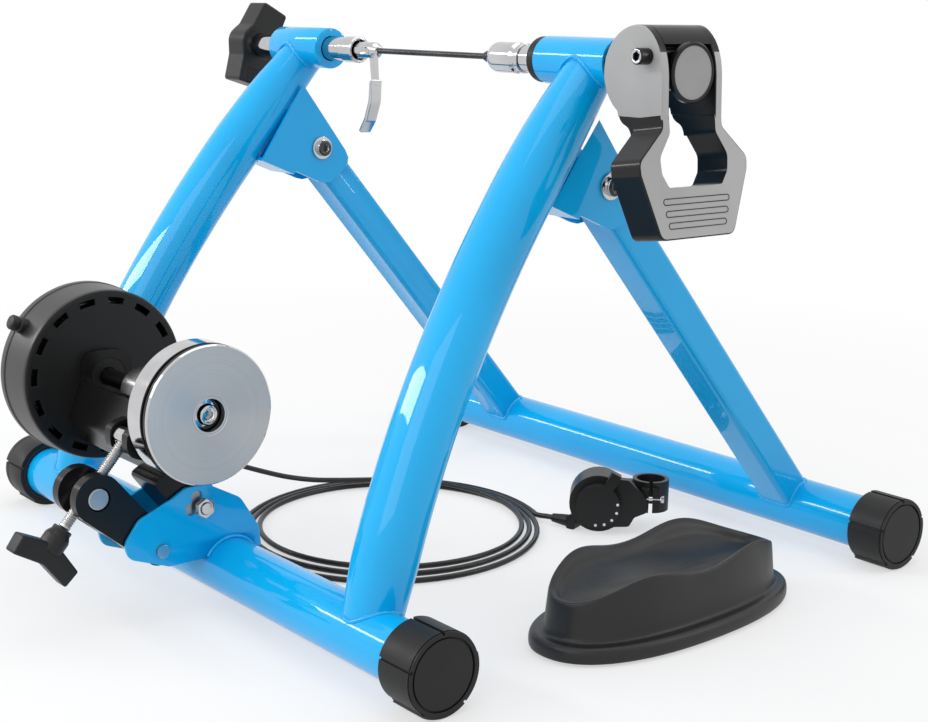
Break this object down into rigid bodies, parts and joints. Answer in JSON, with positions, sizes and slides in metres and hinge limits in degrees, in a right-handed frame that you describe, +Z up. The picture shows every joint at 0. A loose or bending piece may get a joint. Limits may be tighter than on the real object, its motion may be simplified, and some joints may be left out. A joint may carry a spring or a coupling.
{
  "type": "rear wheel turbo trainer",
  "caption": "Folding A-frame bicycle trainer stand with axle clamps, a magnetic roller unit on a tilting yoke, a cable remote and a separate front wheel riser.",
  "frame": {"origin": "on the floor, under the middle of the stand and riser, with the loose remote and its cable left aside", "axes": "+X along the wheel axle towards the cam lever, +Y from the resistance unit towards the folding leg, +Z up"},
  "size_m": [0.5502, 0.5946, 0.3929],
  "materials": {
    "blue_paint": "gloss",
    "black_paint": "satin",
    "black_plastic": "satin",
    "riser_plastic": "matte",
    "rubber": "matte",
    "cable_jacket": "satin",
    "chrome": "polished",
    "machined_steel": "turned",
    "magnet": "matte"
  },
  "bodies": {
    "stand": {"main_base_tube": "blue_paint", "upright_right": "blue_paint", "upright_left": "blue_paint", "bushing_right": "blue_paint", "bushing_left": "blue_paint", "gusset_right": "blue_paint", "gusset_left": "blue_paint", "bracket_near": "blue_paint", "bracket_far": "blue_paint", "tilt_bolt": "chrome", "tilt_nut": "chrome", "adjuster_fork": "black_paint", "fork_rivet": "chrome", "fold_bolt_right": "chrome", "fold_bolt_left": "chrome", "fold_nut_right": "chrome", "fold_nut_left": "chrome", "end_housing": "black_paint", "seal_ring": "rubber", "cam_pin": "chrome", "cam_nut": "chrome", "remote_cable": "cable_jacket", "shifter_gland": "rubber", "shifter_body": "black_plastic", "shifter_clamp": "black_plastic", "shifter_screw": "chrome"},
    "fold_frame": {"leg_right": "blue_paint", "leg_left": "blue_paint", "fold_base_tube": "blue_paint"},
    "main_foot_right": {"foot_main_right": "rubber"},
    "main_foot_left": {"foot_main_left": "rubber"},
    "fold_foot_right": {"foot_fold_right": "rubber"},
    "fold_foot_left": {"foot_fold_left": "rubber"},
    "left_clamp": {"cup_left": "chrome", "skewer_head": "chrome", "skewer_rod": "machined_steel"},
    "left_knob": {"clamp_screw_left": "chrome", "star_knob": "black_plastic"},
    "quick_lever": {"skewer_lever": "chrome"},
    "right_clamp": {"clamp_shaft_right": "chrome", "cup_right": "chrome"},
    "cam_handle": {"cam_lever": "black_plastic"},
    "resistance_unit": {"yoke": "black_paint", "bearing_left": "machined_steel", "bearing_right": "machined_steel", "housing_front": "black_plastic", "housing_back": "black_plastic", "magnet_ring_fixed": "magnet"},
    "spinner": {"drive_shaft": "machined_steel", "roller": "machined_steel", "flywheel": "machined_steel", "flywheel_bolt": "machined_steel", "rotor": "machined_steel"},
    "magnet_carrier": {"magnet_ring_moving": "magnet"},
    "barrel": {"barrel_nut": "chrome"},
    "adjuster": {"adjuster_screw": "machined_steel", "adjuster_knob": "black_plastic"},
    "pin_trunnion": {"cross_pin": "chrome"},
    "dial": {"shifter_dial": "black_plastic"},
    "riser": {"riser_block": "riser_plastic"}
  },
  "joints": [
    {"name": "fold_hinge", "type": "hinge", "parent": "stand", "child": "fold_frame", "pos_m": [-0.00708, 0.04772, 0.2834], "axis": [1, 0, 0], "range_deg": [-62, 0]},
    {"name": "main_foot_right_turn", "type": "hinge", "parent": "stand", "child": "main_foot_right", "pos_m": [-0.00708, -0.15198, 0.0268], "axis": [1, 0, 0], "continuous": true},
    {"name": "main_foot_left_turn", "type": "hinge", "parent": "stand", "child": "main_foot_left", "pos_m": [-0.00708, -0.15198, 0.0268], "axis": [1, 0, 0], "continuous": true},
    {"name": "fold_foot_right_turn", "type": "hinge", "parent": "fold_frame", "child": "fold_foot_right", "pos_m": [-0.00708, 0.27102, 0.0268], "axis": [1, 0, 0], "continuous": true},
    {"name": "fold_foot_left_turn", "type": "hinge", "parent": "fold_frame", "child": "fold_foot_left", "pos_m": [-0.00708, 0.27102, 0.0268], "axis": [1, 0, 0], "continuous": true},
    {"name": "left_clamp_slide", "type": "slide", "parent": "stand", "child": "left_clamp", "axis": [1, 0, 0], "range_m": [-0.012, 0.004]},
    {"name": "left_knob_spin", "type": "hinge", "parent": "left_clamp", "child": "left_knob", "pos_m": [-0.00708, 0.04302, 0.362], "axis": [1, 0, 0], "range_deg": [-2160, 720]},
    {"name": "quick_lever_hinge", "type": "hinge", "parent": "left_clamp", "child": "quick_lever", "pos_m": [-0.07808, 0.04302, 0.362], "axis": [0, -1, 0], "range_deg": [-20, 45]},
    {"name": "cam_handle_hinge", "type": "hinge", "parent": "stand", "child": "cam_handle", "pos_m": [0.23532, 0.04302, 0.368], "axis": [0, -1, 0], "range_deg": [0, 40]},
    {"name": "right_clamp_slide", "type": "slide", "parent": "stand", "child": "right_clamp", "axis": [1, 0, 0], "range_m": [0, 0.008]},
    {"name": "unit_tilt", "type": "hinge", "parent": "stand", "child": "resistance_unit", "pos_m": [-0.00708, -0.17238, 0.0712], "axis": [1, 0, 0], "range_deg": [0, 12]},
    {"name": "flywheel_spin", "type": "hinge", "parent": "resistance_unit", "child": "spinner", "pos_m": [-0.00708, -0.18148, 0.14], "axis": [1, 0, 0], "continuous": true},
    {"name": "magnet_slide", "type": "slide", "parent": "resistance_unit", "child": "magnet_carrier", "axis": [1, 0, 0], "range_m": [0, 0.0025]},
    {"name": "barrel_turn", "type": "hinge", "parent": "resistance_unit", "child": "barrel", "pos_m": [0.01142, -0.21608, 0.1215], "axis": [1, 0, 0], "range_deg": [-10.8, 0]},
    {"name": "adjuster_spin", "type": "hinge", "parent": "barrel", "child": "adjuster", "pos_m": [0.01142, -0.21608, 0.1215], "axis": [0, 0.6587, 0.7524], "range_deg": [-2504, 0]},
    {"name": "trunnion_turn", "type": "hinge", "parent": "stand", "child": "pin_trunnion", "pos_m": [0.01142, -0.24488, 0.0886], "axis": [1, 0, 0], "range_deg": [0, 1.3]},
    {"name": "dial_turn", "type": "hinge", "parent": "stand", "child": "dial", "pos_m": [0.05712, 0.16292, 0.0227], "axis": [-0.7145, 0.6997, 0], "range_deg": [0, 150]},
    {"name": "riser_lift", "type": "slide", "parent": "stand", "child": "riser", "axis": [0, 0, 1], "range_m": [0, 0.05]}
  ],
  "couplings": [
    {"joint": "left_clamp_slide", "follows": "left_knob_spin", "m_per_rad": 0.00031831},
    {"joint": "right_clamp_slide", "follows": "cam_handle_hinge", "m_per_rad": 0.0114},
    {"joint": "unit_tilt", "follows": "adjuster_spin", "ratio": -0.0047917},
    {"joint": "barrel_turn", "follows": "adjuster_spin", "ratio": 0.0042982},
    {"joint": "trunnion_turn", "follows": "adjuster_spin", "ratio": -0.00049354},
    {"joint": "dial_turn", "follows": "magnet_slide", "rad_per_m": 1047.2}
  ]
}
